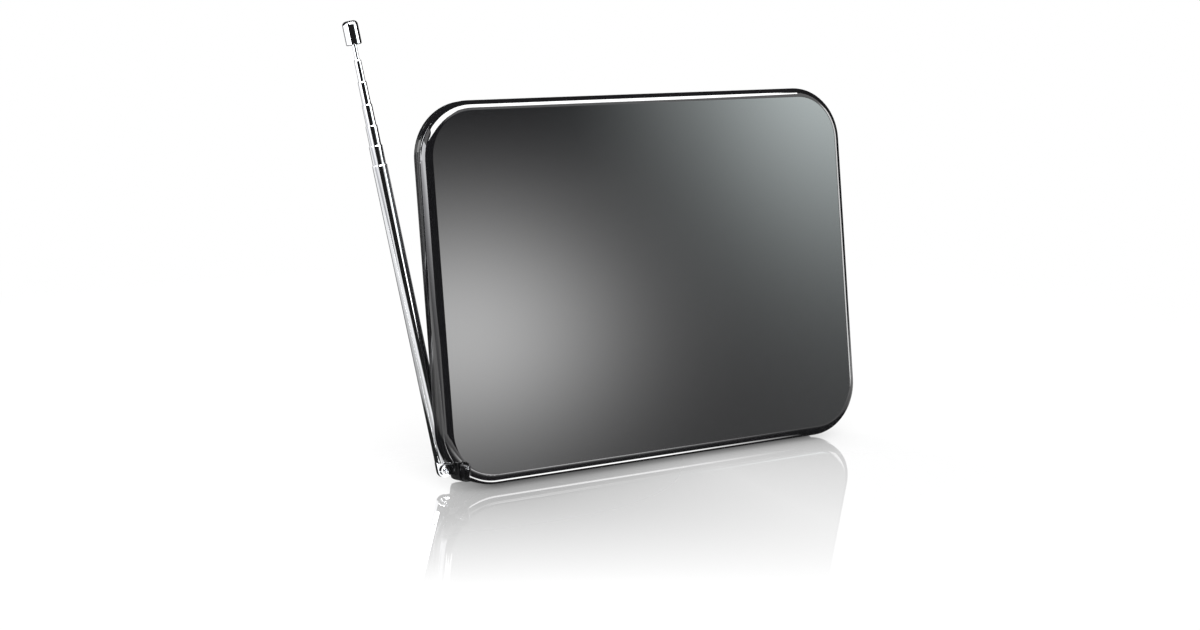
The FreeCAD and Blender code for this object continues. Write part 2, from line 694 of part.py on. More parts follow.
def screwShape(radius, length, headRadius, headHeight):
    # Head behind its seat and shank in front of it, the seat at z = 0.
    shank = Part.makeCylinder(radius.value, length.value)
    head = Part.makeCylinder(headRadius.value, headHeight.value, Vector(0, 0, -headHeight.value))
    rim = [edge for edge in head.Edges if abs(edge.BoundBox.ZMax + headHeight.value) < 1e-6]
    whole = head.makeFillet(headHeight.value / 3, rim).fuse(shank).removeSplitter()
    return whole.cut(crossRecess(headRadius.value, headHeight.value))


def crossRecess(headRadius, headHeight):
    # Two crossed bars that take the screwdriver, sunk in the head.
    reach = headRadius * 0.6
    half = headRadius * 0.15
    deep = headHeight * 0.65
    first = Part.makeBox(reach * 2, half * 2, deep, Vector(-reach, -half, -headHeight))
    second = Part.makeBox(half * 2, reach * 2, deep, Vector(-half, -reach, -headHeight))
    return first.fuse(second)


def caseScrews():
    screw = screwShape(s.screw_radius, s.screw_length, s.screw_head_radius, s.screw_head_height)
    spots = [(x.value, y.value, -s.screw_seat.value) for x, y in screwSpots]
    copies("case_screws", screw, spots).Placement = casePlace


def boardScrews():
    # These go in from the front of the amplifier board, so they are turned about.
    screw = screwShape(s.board_screw_radius, s.board_screw_length, s.board_screw_head, s.amp_thick)
    screw = screw.mirror(Vector(0, 0, 0), Vector(0, 0, 1))
    spots = [(x.value, y.value, -s.amp_depth.value) for x, y in postSpots]
    copies("board_screws", screw, spots).Placement = casePlace


def antennaBoard():
    body = newBody("antenna_board")
    sketch = newSketch(body, "XY_Plane", -boardDepth)
    half = s.board_width / 2
    rise = s.board_height / 2
    corner = [s.side_wall * 2] * 4
    drawRounded(sketch, -half, half, s.board_centre_up - rise, s.board_centre_up + rise, corner)
    for x, y in stakeSpots:
        drawCircle(sketch, x, y, s.stake_radius + s.press_clear)
    pad(body, sketch, s.board_thick, back=True)
    body.Placement = casePlace


def loopElement():
    # Flat loop on the front of the board, broken at its two feed ends.
    body = newBody("loop_element")
    sketch = newSketch(body, "XY_Plane", -boardDepth)
    half = s.loop_width / 2
    rise = s.loop_height / 2
    low = s.board_centre_up - rise
    high = s.board_centre_up + rise
    drawRounded(sketch, -half, half, low, high, [s.loop_corner] * 4)
    track = s.loop_track
    inner = [s.loop_corner - track] * 4
    drawRounded(sketch, track - half, half - track, low + track, high - track, inner)
    pad(body, sketch, s.loop_thick)
    gap = newSketch(body, "XY_Plane", s.loop_thick - boardDepth)
    left = -s.feed_left - s.loop_break / 2
    drawRectangle(gap, left, left + s.loop_break, low - s.loop_track, low + s.loop_track * 2)
    pocket(body, gap, s.loop_thick)
    body.Placement = casePlace


def feedPins():
    pin = Part.makeCylinder(s.feed_radius.value, (s.amp_depth - boardBack).value)
    across = [-s.feed_left - s.feed_step / 2, -s.feed_left + s.feed_step / 2]
    up = (s.board_centre_up - s.board_height / 2 + ampTop) / 2
    copies("feed_pins", pin, [(x.value, up.value, -s.amp_depth.value) for x in across]).Placement = casePlace


def ampBoard():
    body = newBody("amp_board")
    sketch = newSketch(body, "XY_Plane", -s.amp_depth)
    drawRectangle(sketch, -s.amp_left, ampRight, -s.amp_bottom, ampTop)
    for x, y in postSpots:
        drawCircle(sketch, x, y, s.board_screw_radius + s.screw_clear)
    drawCircle(sketch, -s.socket_left, -s.socket_down, s.contact_radius + s.screw_clear)
    pad(body, sketch, s.amp_thick, back=True)
    body.Placement = casePlace


def shieldCan():
    body = newBody("shield_can")
    right = ampRight - s.can_inset
    top = ampTop - s.can_inset
    sketch = newSketch(body, "XY_Plane", -ampBack)
    drawRectangle(sketch, right - s.can_width, right, top - s.can_height, top)
    pad(body, sketch, s.can_depth, back=True)
    inside = newSketch(body, "XY_Plane", -ampBack)
    wall = s.can_wall
    drawRectangle(inside, right - s.can_width + wall, right - wall, top - s.can_height + wall, top - wall)
    pocket(body, inside, s.can_depth - wall)
    body.Placement = casePlace


def contactLeaf():
    # Bent strip from the amplifier board to the inner end of the swivel shaft.
    body = newBody("contact_leaf")
    left = mastX + shaftReach + s.leaf_gap
    thin = s.leaf_thick
    section = newSketch(body, "XZ_Plane", -mastY)
    corners = [
        (left, -ampBack),
        (left, -ampBack - s.leaf_rise),
        (left + thin, -ampBack - s.leaf_rise),
        (left + thin, -ampBack - thin),
        (left + s.leaf_foot, -ampBack - thin),
        (left + s.leaf_foot, -ampBack),
    ]
    drawProfile(section, corners)
    pad(body, section, s.leaf_width, middle=True)
    body.Placement = casePlace


# Swivel: distances run from the pivot into the case along the shaft, so they are negative heights.
pivotReach = notchX - mastX
slotFloor = s.tongue_radius + s.slot_clear
neckBack = pivotReach - s.flange_thick - s.flange_gap
bushEnd = pivotReach + s.boss_wall + s.bush_tail
clipStart = bushEnd + s.flange_gap / 2 + s.washer_thick
grooveEnd = clipStart + s.clip_thick + s.flange_gap / 2
shaftReach = grooveEnd + s.shaft_tail
forkHalf = s.tongue_thick / 2 + s.hinge_clear + s.cheek_thick


def swivelBush():
    body = newBody("swivel_bush")
    bore = s.shaft_radius + s.hinge_clear
    outer = bore + s.bush_wall
    rim = s.bush_flange
    ring = rim - s.flange_groove
    ringLow = (s.flange_thick - s.flange_groove) / 2 - pivotReach
    ringHigh = ringLow + s.flange_groove
    section = [
        (bore, -bushEnd),
        (outer, -bushEnd),
        (outer, -pivotReach),
        (rim, -pivotReach),
        (rim, ringLow),
        (ring, ringLow),
        (ring, ringHigh),
        (rim, ringHigh),
        (rim, s.flange_thick - pivotReach),
        (bore, s.flange_thick - pivotReach),
    ]
    spin(body, section)
    body.Placement = swivelPlace


def swivelClevis():
    body = newBody("swivel_clevis")
    shaft = s.shaft_radius
    groove = shaft - s.groove_depth
    section = [
        (zero, -shaftReach),
        (shaft - s.lip_bevel * 2, -shaftReach),
        (shaft, s.lip_bevel * 2 - shaftReach),
        (shaft, -grooveEnd),
        (groove, -grooveEnd),
        (groove, -clipStart),
        (shaft, -clipStart),
        (shaft, -neckBack),
        (s.neck_radius, -neckBack),
        (s.neck_radius, -slotFloor),
        (zero, -slotFloor),
    ]
    spin(body, section)
    fork = newSketch(body, "YZ_Plane")
    drawForkSide(fork)
    pad(body, fork, forkHalf * 2, middle=True)
    slot = newSketch(body, "YZ_Plane")
    wide = s.neck_radius * 2
    drawRectangle(slot, -wide, wide, -slotFloor, wide)
    pocket(body, slot, s.tongue_thick + s.hinge_clear * 2, middle=True)
    hole = newSketch(body, "YZ_Plane")
    drawCircle(hole, zero, zero, s.rivet_radius + s.press_clear)
    pocket(body, hole, forkHalf * 2, middle=True)
    body.Placement = swivelPlace


def drawForkSide(sketch):
    # Cheek seen from its side: round about the pivot, running back into the collar.
    r = s.cheek_radius.value
    far = (slotFloor + s.lip_bevel).value
    sketch.addGeometry(Part.ArcOfCircle(Part.Circle(Vector(0, 0, 0), Vector(0, 0, 1), r), 0, math.pi))
    spots = [Vector(-r, 0, 0), Vector(-r, -far, 0), Vector(r, -far, 0), Vector(r, 0, 0)]
    for i in range(3):
        sketch.addGeometry(Part.LineSegment(spots[i], spots[i + 1]))
    sketch.addConstraint(Sketcher.Constraint("Coincident", 0, 3, -1, 1))
    sketch.addConstraint(Sketcher.Constraint("Tangent", 0, 2, 1, 1))
    sketch.addConstraint(Sketcher.Constraint("Coincident", 1, 2, 2, 1))
    sketch.addConstraint(Sketcher.Constraint("Coincident", 2, 2, 3, 1))
    sketch.addConstraint(Sketcher.Constraint("Tangent", 3, 2, 0, 1))
    sketch.addConstraint(Sketcher.Constraint("Vertical", 1))
    sketch.addConstraint(Sketcher.Constraint("Horizontal", 2))
    index = sketch.addConstraint(Sketcher.Constraint("Radius", 0, r))
    bind(sketch, f"Constraints[{index}]", s.cheek_radius)
    hold(sketch, "DistanceY", 1, 2, -slotFloor - s.lip_bevel)


def frictionWasher():
    body = newBody("friction_washer")
    bore = s.shaft_radius + s.hinge_clear
    top = s.washer_thick - clipStart
    spin(body, [(bore, -clipStart), (s.washer_radius, -clipStart), (s.washer_radius, top), (bore, top)])
    body.Placement = swivelPlace


def shaftClip():
    # Open ring in the shaft's groove, its mouth to one side.
    body = newBody("shaft_clip")
    bore = s.shaft_radius - s.groove_depth + s.press_clear
    low = -clipStart - s.clip_thick
    spin(body, [(bore, low), (s.clip_radius, low), (s.clip_radius, -clipStart), (bore, -clipStart)])
    mouth = newSketch(body, "XY_Plane", -clipStart)
    half = s.clip_mouth / 2
    drawRectangle(mouth, -half, half, zero, s.clip_radius * 1.5)
    pocket(body, mouth, s.clip_thick)
    body.Placement = swivelPlace


def hingeRivet():
    body = newBody("hinge_rivet")
    head = s.rivet_head_radius
    high = s.rivet_head_height
    bevel = s.rivet_bevel
    end = forkHalf + high
    section = [
        (zero, -end),
        (head - bevel, s.rivet_crown - end),
        (head, bevel - end),
        (head, -forkHalf),
        (s.rivet_radius, -forkHalf),
        (s.rivet_radius, forkHalf),
        (head, forkHalf),
        (head, end - bevel),
        (head - bevel, end - s.rivet_crown),
        (s.rivet_hollow, end),
        (s.rivet_hollow, end - s.rivet_sink),
        (zero, end - s.rivet_sink - s.rivet_hollow),
    ]
    spin(body, section)
    body.Placement = rivetPlace


# Rod: heights run from the pivot up the rod.
tubeTop = s.tube_start + s.tube_length
plugTop = s.tube_start + s.plug_length
nestLength = tubeTop - plugTop - s.lip_bevel
shows = [s.show_2, s.show_3, s.show_4, s.show_5, s.show_6]
tubeBore = s.tube_radius - s.tube_wall


def mastPlug():
    # Plug in the tube's foot with the flat tongue that turns on the rivet.
    body = newBody("mast_plug")
    outer = tubeBore - s.press_clear
    low = s.tube_start - s.plug_collar
    bevel = s.lip_bevel * 2
    sunk = outer - s.crimp_groove
    grooveLow = s.crimp_height - s.crimp_radius
    grooveHigh = s.crimp_height + s.crimp_step + s.crimp_radius
    section = [
        (zero, low),
        (s.tube_radius - bevel, low),
        (s.tube_radius, low + bevel),
        (s.tube_radius, s.tube_start),
        (outer, s.tube_start),
        (outer, grooveLow),
        (sunk, grooveLow),
        (sunk, grooveHigh),
        (outer, grooveHigh),
        (outer, plugTop),
        (zero, plugTop),
    ]
    spin(body, section)
    tongue = newSketch(body, "XZ_Plane")
    drawTongue(tongue, s.tongue_radius, s.tube_start)
    pad(body, tongue, s.tongue_thick, middle=True)
    hole = newSketch(body, "XZ_Plane")
    drawCircle(hole, zero, zero, s.rivet_radius + s.hinge_clear)
    pocket(body, hole, s.tongue_thick, middle=True)
    body.Placement = mastPlace


def outerTube():
    body = newBody("outer_tube")
    outer = s.tube_radius
    lip = outer - s.tube_step + s.slide_clear
    section = [
        (tubeBore, s.tube_start),
        (outer, s.tube_start),
        (outer, tubeTop - s.lip_rise),
        (outer - s.lip_bevel, tubeTop),
        (lip, tubeTop),
        (lip, tubeTop - s.lip_length),
        (tubeBore, tubeTop - s.lip_length),
    ]
    spin(body, section)
    dots = newSketch(body, "XZ_Plane", s.tube_radius - s.tube_wall * 2)
    for step in (0, 1):
        drawCircle(dots, zero, s.crimp_height + s.crimp_step * step, s.crimp_radius)
    pocket(body, dots, s.tube_wall * 3, back=True)
    body.Placement = mastPlace.multiply(Placement(Vector(), Rotation(Vector(0, 0, 1), -s.crimp_turn.value)))


def innerTube(number, top):
    # Drawn tube with an opened-out foot that guides it and a turned-in lip that stops the next one.
    body = newBody(f"tube_{number}")
    outer = s.tube_radius - s.tube_step * (number - 1)
    bore = outer - s.tube_wall
    flare = outer + s.tube_step - s.tube_wall - s.slide_clear
    after = s.tip_radius if number > len(shows) else outer - s.tube_step
    lip = after + s.slide_clear
    foot = top - nestLength - s.nest_step * (number - 1)
    section = [
        (bore, foot),
        (flare, foot),
        (flare, foot + s.flare_length),
        (outer, foot + s.flare_length + s.lip_bevel * 2),
        (outer, top - s.lip_rise),
        (outer - s.lip_bevel, top),
        (lip, top),
        (lip, top - s.lip_length),
        (bore, top - s.lip_length),
    ]
    spin(body, section)
    body.Placement = mastPlace


def tipRod(foot, end):
    body = newBody("tip_rod")
    flare = s.tube_radius - s.tube_step * len(shows) - s.tube_wall - s.slide_clear
    section = [
        (zero, foot),
        (flare, foot),
        (flare, foot + s.flare_length),
        (s.tip_radius, foot + s.flare_length + s.lip_bevel * 2),
        (s.tip_radius, end),
        (zero, end),
    ]
    spin(body, section)
    body.Placement = mastPlace


def tipCap(base):
    body = newBody("tip_cap")
    bore = s.tip_radius + s.press_clear
    top = base + s.cap_height
    bevel = s.lip_bevel * 2
    section = [
        (bore, base),
        (s.cap_radius - bevel, base),
        (s.cap_radius, base + bevel),
        (s.cap_radius, top),
        (zero, top),
        (zero, base + s.cap_socket + s.press_clear),
        (bore, base + s.cap_socket + s.press_clear),
    ]
    spin(body, section)
    soften(body, level(top), s.cap_dome)
    body.Placement = mastPlace


def mast():
    mastPlug()
    outerTube()
    top = tubeTop
    for number, show in enumerate(shows, start=2):
        top = top + show
        innerTube(number, top)
    base = top + s.show_tip
    foot = base - nestLength - s.nest_step * (len(shows) + 1)
    tipRod(foot, base + s.cap_socket)
    tipCap(base)


# Socket: heights run back from the case's front face.
threadEnd = s.back_depth + s.thread_length
insulatorEnd = threadEnd - s.insulator_sink
insulatorStart = insulatorEnd - s.insulator_depth
lockEnd = s.back_depth + s.lock_thick
nutEnd = lockEnd + s.nut_thick


def socketBody():
    body = newBody("socket_body")
    section = [
        (s.contact_radius + s.contact_gap, ampBack),
        (s.socket_base, ampBack),
        (s.socket_base, innerBack),
        (s.root_radius, innerBack),
        (s.root_radius, nutEnd),
        (s.thread_radius, nutEnd),
        (s.thread_radius, threadEnd - s.thread_bevel),
        (s.thread_radius - s.thread_bevel, threadEnd),
        (s.socket_bore, threadEnd),
        (s.socket_bore, insulatorStart),
        (s.contact_radius + s.contact_gap, insulatorStart),
    ]
    spin(body, section)
    body.Placement = socketPlace


def socketInsulator():
    body = newBody("socket_insulator")
    outer = s.socket_bore - s.press_clear
    bore = s.contact_radius + s.press_clear
    section = [(bore, insulatorStart), (outer, insulatorStart), (outer, insulatorEnd), (bore, insulatorEnd)]
    spin(body, section)
    body.Placement = socketPlace


def socketContact():
    body = newBody("socket_contact")
    floor = insulatorStart
    outer = s.contact_radius
    end = insulatorEnd - s.insulator_sink
    section = [
        (zero, s.amp_depth),
        (outer, s.amp_depth),
        (outer, end),
        (s.contact_bore, end),
        (s.contact_bore, floor),
        (zero, floor),
    ]
    spin(body, section)
    body.Placement = socketPlace


def socketWasher():
    body = newBody("socket_washer")
    bore = s.thread_radius + s.screw_clear
    section = [(bore, s.back_depth), (s.lock_radius, s.back_depth), (s.lock_radius, lockEnd), (bore, lockEnd)]
    spin(body, section)
    body.Placement = socketPlace


def socketNut():
    body = newBody("socket_nut")
    sketch = newSketch(body, "XY_Plane", lockEnd)
    half = s.nut_flats / 2
    side = half / plain(math.sqrt(3))
    corner = side * 2
    corners = [(corner, zero), (side, half), (-side, half), (-corner, zero), (-side, -half), (side, -half)]
    drawProfile(sketch, corners)
    drawCircle(sketch, zero, zero, s.root_radius + s.screw_clear)
    pad(body, sketch, s.nut_thick)
    top = level(nutEnd)
    soften(body, lambda edge: top(edge) and edge.Length < s.nut_flats.value, s.nut_bevel, "Chamfer")
    body.Placement = socketPlace


# Leg: folded, it runs down from its hinge. Its reach is set so that the pad meets the table when open.
spread = s.stand_open - s.lean_angle
axisSlope = (s.stand_axis_up - footDrop) * cosine(s.lean_angle)
axisRise = axisSlope - (standAxisDepth - s.foot_depth) * sine(s.lean_angle)
standReach = axisRise / cosine(spread)
legEnd = standReach - s.pad_height
heelRoom = s.stand_clear - s.stop_gap + s.stand_thick / 2 * (plain(1) - cosine(s.stand_open))
heel = heelRoom / sine(s.stand_open)


def standLeg():
    body = newBody("stand_leg")
    half = s.stand_width / 2
    outline = newSketch(body, "XY_Plane", s.stand_thick / 2)
    small = s.stand_corner / 8
    drawRounded(outline, -half, half, -legEnd, heel, [s.stand_corner, small, small, s.stand_corner])
    pad(body, outline, s.stand_thick, back=True)
    ribLegs(body)
    grip = newSketch(body, "XY_Plane", s.stand_thick)
    wide = s.grip_width / 2
    tall = s.grip_height / 2
    middle = s.grip_up - legEnd
    drawRounded(grip, -wide, wide, middle - tall, middle + tall, [tall * 0.9] * 4)
    pocket(body, grip, s.stand_thick * 2)
    bore = newSketch(body, "YZ_Plane")
    drawCircle(bore, zero, zero, s.pin_radius + s.hinge_clear)
    pocket(body, bore, s.stand_width, middle=True)
    body.Placement = standPlace


def ribLegs(body):
    # Two columns of pockets in the side that faces the case, with ribs between them.
    cellWide = (s.stand_width - s.stand_rib * 3) / 2
    top = -s.stand_thick
    low = s.grip_up + s.grip_height - legEnd
    cellTall = (top - low - s.stand_rib * 2) / 3
    cells = newSketch(body, "XY_Plane", s.stand_thick / 2)
    for side in (-1, 0):
        left = s.stand_rib / 2 + (cellWide + s.stand_rib) * side
        for step in (0, 1, 2):
            floor = low + (cellTall + s.stand_rib) * step
            drawRectangle(cells, left, left + cellWide, floor, floor + cellTall)
    pocket(body, cells, s.stand_thick - s.stand_skin)


def standPad():
    # Soft end of the leg, its underside level with the table when the leg is open.
    body = newBody("stand_pad")
    half = s.stand_thick / 2
    slope = half * (sine(spread) / cosine(spread))
    section = newSketch(body, "YZ_Plane")
    corners = [
        (-legEnd, -half),
        (-standReach - slope, -half),
        (slope - standReach, half),
        (-legEnd, half),
    ]
    drawProfile(section, corners)
    pad(body, section, s.stand_width - s.pad_inset * 2, middle=True)
    body.Placement = standPlace


def standPin():
    pin = doc.addObject("Part::Cylinder", "stand_pin")
    pin.Label = "stand_pin"
    length = (recessHalf + s.pin_seat - s.press_clear) * 2
    bind(pin, "Radius", s.pin_radius)
    bind(pin, "Height", length)
    pin.Placement = inCase(-length / 2, s.stand_axis_up, -standAxisDepth, Rotation(Vector(0, 1, 0), 90))
    subParts.append(pin)


frontCover()
rearCover()
footStrip()
caseScrews()
boardScrews()
antennaBoard()
loopElement()
feedPins()
ampBoard()
shieldCan()
contactLeaf()
swivelBush()
swivelClevis()
frictionWasher()
shaftClip()
hingeRivet()
mast()
socketBody()
socketInsulator()
socketContact()
socketWasher()
socketNut()
standLeg()
standPad()
standPin()
doc.recompute()

for item in doc.Objects:
    if "Invalid" in item.State or "Error" in item.State:
        raise RuntimeError(item.Label + " failed to build")
for node in subParts:
    if node.Shape.isNull() or not node.Shape.isValid():
        raise RuntimeError(node.Label + " has no valid shape")

os.makedirs("parts", exist_ok=True)
for node in subParts:
    node.Shape.exportStep(f"parts/{node.Label}.step")
print(len(subParts), "sub-parts")
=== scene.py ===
import math
import bpy
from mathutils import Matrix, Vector


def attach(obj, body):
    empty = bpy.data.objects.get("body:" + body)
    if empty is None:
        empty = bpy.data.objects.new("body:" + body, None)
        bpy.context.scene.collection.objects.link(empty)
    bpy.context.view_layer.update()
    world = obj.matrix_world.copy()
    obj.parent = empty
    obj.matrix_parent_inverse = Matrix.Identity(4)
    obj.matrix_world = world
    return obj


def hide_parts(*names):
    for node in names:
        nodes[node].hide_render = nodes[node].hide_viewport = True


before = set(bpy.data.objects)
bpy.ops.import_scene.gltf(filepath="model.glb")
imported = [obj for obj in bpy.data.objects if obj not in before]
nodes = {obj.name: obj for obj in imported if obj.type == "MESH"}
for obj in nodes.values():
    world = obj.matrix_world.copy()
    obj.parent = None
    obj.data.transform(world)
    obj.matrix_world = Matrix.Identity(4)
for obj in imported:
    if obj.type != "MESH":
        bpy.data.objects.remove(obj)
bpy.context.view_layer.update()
scene = bpy.context.scene
scene.view_settings.view_transform = "Standard"
bpy.ops.object.select_all(action="DESELECT")
print("frame:", len(nodes), "nodes from the CAD model")

leanAngle = math.radians(10.8)  # the case leans back by this much
rodAxis = Vector((-0.142629, 0.185466, 0.972245))  # along the telescopic rod at rest
caseTurn = (leanAngle - math.pi / 2, 0, 0)  # turns a pattern so that it lies square to the case
rodTurn = tuple(rodAxis.rotation_difference(Vector((0, 0, 1))).to_euler())  # or along the rod
white = (1, 1, 1, 1)


class Wire:  # one socket of a node tree, whose operators add Math nodes
    def __init__(self, finish, socket):
        self.finish = finish
        self.socket = socket

    def math(self, operation, *values):
        return self.finish.node("ShaderNodeMath", {"operation": operation}, dict(enumerate(values)))

    def apply(self, operation, *others):
        return self.math(operation, self, *others)

    def __add__(self, other):
        return self.math("ADD", self, other)

    def __radd__(self, other):
        return self.math("ADD", other, self)

    def __sub__(self, other):
        return self.math("SUBTRACT", self, other)

    def __rsub__(self, other):
        return self.math("SUBTRACT", other, self)

    def __mul__(self, other):
        return self.math("MULTIPLY", self, other)

    def __rmul__(self, other):
        return self.math("MULTIPLY", other, self)

    def __truediv__(self, other):
        return self.math("DIVIDE", self, other)

    def __pow__(self, other):
        return self.math("POWER", self, other)


class Finish:  # the node tree of one material or of the world
    def __init__(self, owner):
        owner.use_nodes = True
        self.owner = owner
        self.tree = owner.node_tree
        self.tree.nodes.clear()

    def node(self, kind, settings=None, inputs=None, output=0):
        made = self.tree.nodes.new(kind)
        for name, value in (settings or {}).items():
            if name == "stops":
                for place, shade in value[2:]:
                    made.color_ramp.elements.new(place)
                for element, (place, shade) in zip(made.color_ramp.elements, sorted(value)):
                    element.position = place
                    element.color = (shade, shade, shade, 1)
            else:
                setattr(made, name, value)
        for name, value in (inputs or {}).items():
            if isinstance(value, Wire):
                self.tree.links.new(value.socket, made.inputs[name])
            else:
                made.inputs[name].default_value = value
        return Wire(self, made.outputs[output] if made.outputs else None)

    def place(self, turn=(0, 0, 0), stretch=(1, 1, 1)):
        spot = self.node("ShaderNodeTexCoord", output="Object")
        return self.node("ShaderNodeMapping", None, {"Vector": spot, "Rotation": turn, "Scale": stretch})

    def axes(self, spot):
        split = self.node("ShaderNodeSeparateXYZ", None, {0: spot})
        return [Wire(self, socket) for socket in split.socket.node.outputs]

    def noise(self, spot, scale, detail=3.0, rough=0.5):
        inputs = {"Vector": spot, "Scale": scale, "Detail": detail, "Roughness": rough}
        return self.node("ShaderNodeTexNoise", None, inputs)

    def ramp(self, value, *stops):
        return self.node("ShaderNodeValToRGB", {"stops": list(stops)}, {0: value})

    def tint(self, share, first, second):
        inputs = {0: share, 6: (*first, 1), 7: (*second, 1)}
        return self.node("ShaderNodeMix", {"data_type": "RGBA"}, inputs, 2)

    def brighten(self, colour, times):
        settings = {"data_type": "RGBA", "blend_type": "MULTIPLY"}
        return self.node("ShaderNodeMix", settings, {0: 1.0, 6: colour, 7: times}, 2)

    def bump(self, height, strength, distance):
        inputs = {"Height": height, "Strength": strength, "Distance": distance}
        return self.node("ShaderNodeBump", None, inputs)

    def mixed(self, share, first, second):
        return self.node("ShaderNodeMixShader", None, {0: share, 1: first, 2: second})

    def rays(self, kind):
        return self.node("ShaderNodeLightPath", output=kind)

    def close(self, shader):
        self.node("ShaderNodeOutputMaterial", None, {"Surface": shader})
        return self.owner

    def surface(self, inputs):
        return self.close(self.node("ShaderNodeBsdfPrincipled", None, inputs))


def newFinish(name):
    return Finish(bpy.data.materials.new(name))


def dress(finish, *names):
    for name in names:
        piece = nodes[name]
        if not piece.material_slots:
            piece.data.materials.append(finish)
        for slot in piece.material_slots:
            slot.material = finish


# Front cover: deep gloss black with a clear skin, faint wiping marks and moulding ripple
glossSet = {
    "dark": (0.006, 0.006, 0.007), "light": (0.010, 0.010, 0.011), "cloud": 16.0,
    "rough": 0.035, "wipe": 0.03, "wipeStretch": (9.0, 60.0, 9.0), "wipeScale": 1.6,
    "ripple": 260.0, "rippleBump": 0.02, "rippleHeight": 0.00002,
}


def makeCaseGloss():
    finish = newFinish("case_gloss")
    spot = finish.place(caseTurn)
    cloud = finish.noise(spot, glossSet["cloud"], 4.0)
    wiped = finish.noise(finish.place(caseTurn, glossSet["wipeStretch"]), glossSet["wipeScale"], 5.0, 0.62)
    wipe = finish.ramp(wiped, (0.48, 0.0), (0.78, 1.0))
    ripple = finish.noise(spot, glossSet["ripple"], 1.0)
    return finish.surface({
        "Base Color": finish.tint(cloud, glossSet["dark"], glossSet["light"]),
        "Roughness": glossSet["rough"] + wipe * glossSet["wipe"],
        "Normal": finish.bump(ripple, glossSet["rippleBump"], glossSet["rippleHeight"]),
        "IOR": 1.55,
        "Coat Weight": 1.0,
        "Coat Roughness": 0.015,
        "Coat IOR": 1.5,
    })


# Rear cover: polished rim, and behind it a spark-textured back
rearSet = {
    "dark": (0.008, 0.008, 0.009), "light": (0.045, 0.045, 0.046), "grain": 2100.0, "handled": 22.0,
    "face": 0.0143, "rim": 0.0123,  # front face from the frame's origin, and the rim's depth
    "rough": 0.16, "backRough": 0.30, "bump": 0.35, "height": 0.00006,
}


def makeCaseRear():
    finish = newFinish("case_rear")
    spot = finish.place(caseTurn)
    depth = finish.axes(spot)[2]
    edge = rearSet["rim"] * 20.0  # the ramp covers 50 mm
    back = finish.ramp((rearSet["face"] - depth) * 20.0, (edge, 0.0), (edge + 0.006, 1.0))
    grain = finish.noise(spot, rearSet["grain"], 2.0, 0.6)
    pits = finish.node("ShaderNodeTexVoronoi", None, {"Vector": spot, "Scale": rearSet["grain"] * 0.6})
    handled = finish.noise(spot, rearSet["handled"], 4.0)
    height = (grain * 0.6 + pits * 0.5) * back
    return finish.surface({
        "Base Color": finish.tint(back * (0.35 + handled * 0.5), rearSet["dark"], rearSet["light"]),
        "Roughness": rearSet["rough"] + back * (rearSet["backRough"] + grain * 0.08 + handled * 0.06),
        "Normal": finish.bump(height, rearSet["bump"], rearSet["height"]),
        "Specular IOR Level": 0.3,
    })


# Satin black plastic of the bush and the leg
satinSet = {
    "dark": (0.014, 0.014, 0.015), "light": (0.032, 0.032, 0.033), "grain": 1500.0, "handled": 35.0,
    "rough": 0.34, "bump": 0.22, "height": 0.00005,
}


def makeSatin():
    finish = newFinish("black_satin")
    spot = finish.place(caseTurn)
    grain = finish.noise(spot, satinSet["grain"], 2.0, 0.6)
    handled = finish.noise(spot, satinSet["handled"], 4.0)
    return finish.surface({
        "Base Color": finish.tint(handled, satinSet["dark"], satinSet["light"]),
        "Roughness": satinSet["rough"] + handled * 0.12 + grain * 0.06,
        "Normal": finish.bump(grain, satinSet["bump"], satinSet["height"]),
        "Specular IOR Level": 0.45,
    })


# Rubber of the foot strip and the leg's pad
rubberSet = {
    "dark": (0.012, 0.012, 0.012), "light": (0.030, 0.029, 0.028), "grain": 900.0, "dust": 70.0,
    "rough": 0.72, "bump": 0.3, "height": 0.00008,
}


def makeRubber():
    finish = newFinish("soft_rubber")
    spot = finish.place(caseTurn)
    grain = finish.noise(spot, rubberSet["grain"], 4.0, 0.7)
    dust = finish.noise(spot, rubberSet["dust"], 5.0, 0.65)
    dusty = finish.ramp(dust, (0.45, 0.0), (0.8, 1.0))
    return finish.surface({
        "Base Color": finish.tint(dusty, rubberSet["dark"], rubberSet["light"]),
        "Roughness": rubberSet["rough"] + dust * 0.18,
        "Normal": finish.bump(grain, rubberSet["bump"], rubberSet["height"]),
        "Specular IOR Level": 0.35,
    })


# Plated metals: bright colour, dull colour, roughness, turn of the pattern, strength of the drawing marks
platedSet = {
    "rod_chrome": ((0.86, 0.87, 0.89), (0.80, 0.81, 0.83), 0.035, rodTurn, 1.0),
    "steel_turned": ((0.62, 0.62, 0.63), (0.50, 0.50, 0.51), 0.22, caseTurn, 2.0),
    "steel_black": ((0.055, 0.055, 0.058), (0.030, 0.030, 0.032), 0.30, caseTurn, 2.0),
    "tin_plate": ((0.66, 0.66, 0.66), (0.52, 0.52, 0.53), 0.28, caseTurn, 1.5),
    "socket_nickel": ((0.74, 0.71, 0.66), (0.62, 0.59, 0.54), 0.13, caseTurn, 1.5),
    "spring_bronze": ((0.78, 0.56, 0.29), (0.62, 0.42, 0.20), 0.24, caseTurn, 1.5),
    "loop_copper": ((0.80, 0.45, 0.30), (0.62, 0.32, 0.20), 0.30, caseTurn, 1.0),
}
drawnStretch = (2600.0, 2600.0, 14.0)  # fine across the piece and long along it


